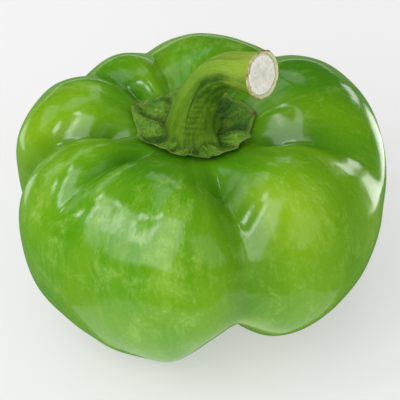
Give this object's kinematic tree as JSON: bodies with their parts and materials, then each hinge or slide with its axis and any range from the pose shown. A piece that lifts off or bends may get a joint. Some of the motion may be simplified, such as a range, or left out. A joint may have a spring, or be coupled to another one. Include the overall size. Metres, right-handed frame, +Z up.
{
  "type": "bell pepper",
  "caption": "Squat lobed bell pepper with a sunken crown, a pointed green calyx and a bent stem cut short; rests upright on the knobs of its lobes.",
  "frame": {"origin": "on the surface the pepper rests on, below the middle of its bounding box", "axes": "+Z up through the crown; the stem leans over toward +X and -Y"},
  "size_m": [0.0946, 0.0892, 0.0909],
  "materials": {
    "skin": "gloss",
    "calyx": "satin",
    "stem": "satin"
  },
  "bodies": {
    "root": {"pepper_body": "skin", "calyx": "calyx", "stem": "stem"}
  },
  "joints": []
}
